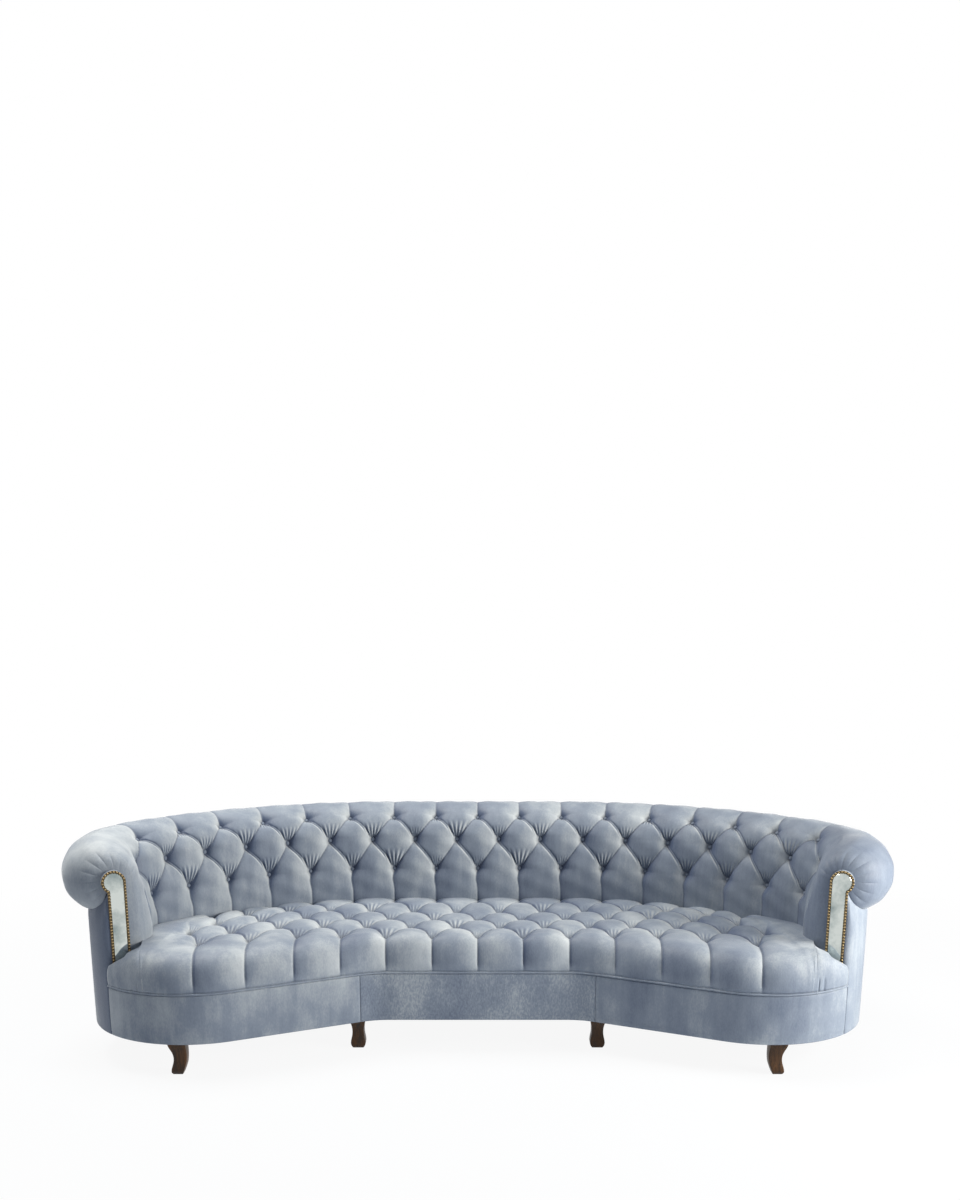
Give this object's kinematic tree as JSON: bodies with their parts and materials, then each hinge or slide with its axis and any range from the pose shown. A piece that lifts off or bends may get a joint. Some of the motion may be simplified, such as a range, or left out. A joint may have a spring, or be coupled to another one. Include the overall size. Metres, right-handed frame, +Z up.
{
  "type": "curved sofa",
  "caption": "Curved, diamond-tufted sofa with scroll back and arms, concave front, mirrored keyhole arm facings with nailhead trim and sawn cabriole legs.",
  "frame": {"origin": "on the floor, under the centre of the sofa's box", "axes": "+X to the sitter's left as seen from the front, i.e. to the viewer's right; +Y towards the back; +Z up; the front faces -Y"},
  "size_m": [3.1488, 1.2452, 0.847],
  "materials": {
    "velvet": "blue-grey velvet, soft nap",
    "hardwood": "planed, unfinished",
    "dark_wood": "espresso stain, satin lacquer",
    "mirror": "silvered glass",
    "antique_brass": "antique",
    "webbing": "woven jute",
    "cambric": "black lining cloth"
  },
  "bodies": {
    "root": {"arm_facing_left": "velvet", "arm_facing_right": "velvet", "arm_post_left": "hardwood", "arm_post_right": "hardwood", "back_post_inner_left": "hardwood", "back_post_inner_right": "hardwood", "back_post_outer_left": "hardwood", "back_post_outer_right": "hardwood", "base_rail_arm_left": "hardwood", "base_rail_arm_right": "hardwood", "base_rail_back_left": "hardwood", "base_rail_back_middle": "hardwood", "base_rail_back_right": "hardwood", "bottom_cloth_left": "cambric", "bottom_cloth_right": "cambric", "cross_rail_inner_left": "hardwood", "cross_rail_inner_right": "hardwood", "cross_rail_outer_left": "hardwood", "cross_rail_outer_right": "hardwood", "facing_mirror_left": "mirror", "facing_mirror_right": "mirror", "front_band_left": "velvet", "front_band_middle": "velvet", "front_band_right": "velvet", "front_rail_left": "hardwood", "front_rail_middle": "hardwood", "front_rail_right": "hardwood", "inside_arm_left": "velvet", "inside_arm_right": "velvet", "inside_back_left": "velvet", "inside_back_middle": "velvet", "inside_back_right": "velvet", "leg_front_inner_left": "dark_wood", "leg_front_inner_right": "dark_wood", "leg_front_outer_left": "dark_wood", "leg_front_outer_right": "dark_wood", "leg_rear_inner_left": "dark_wood", "leg_rear_inner_right": "dark_wood", "leg_rear_outer_left": "dark_wood", "leg_rear_outer_right": "dark_wood", "nailhead_trim_left": "antique_brass", "nailhead_trim_right": "antique_brass", "outside_arm_left": "velvet", "outside_arm_right": "velvet", "outside_back_left": "velvet", "outside_back_middle": "velvet", "outside_back_right": "velvet", "seat_pad_left": "velvet", "seat_pad_middle": "velvet", "seat_pad_right": "velvet", "seat_welt": "velvet", "top_rail_arm_left": "hardwood", "top_rail_arm_right": "hardwood", "top_rail_back_left": "hardwood", "top_rail_back_middle": "hardwood", "top_rail_back_right": "hardwood", "webbing_left": "webbing", "webbing_middle": "webbing", "webbing_right": "webbing"}
  },
  "joints": []
}
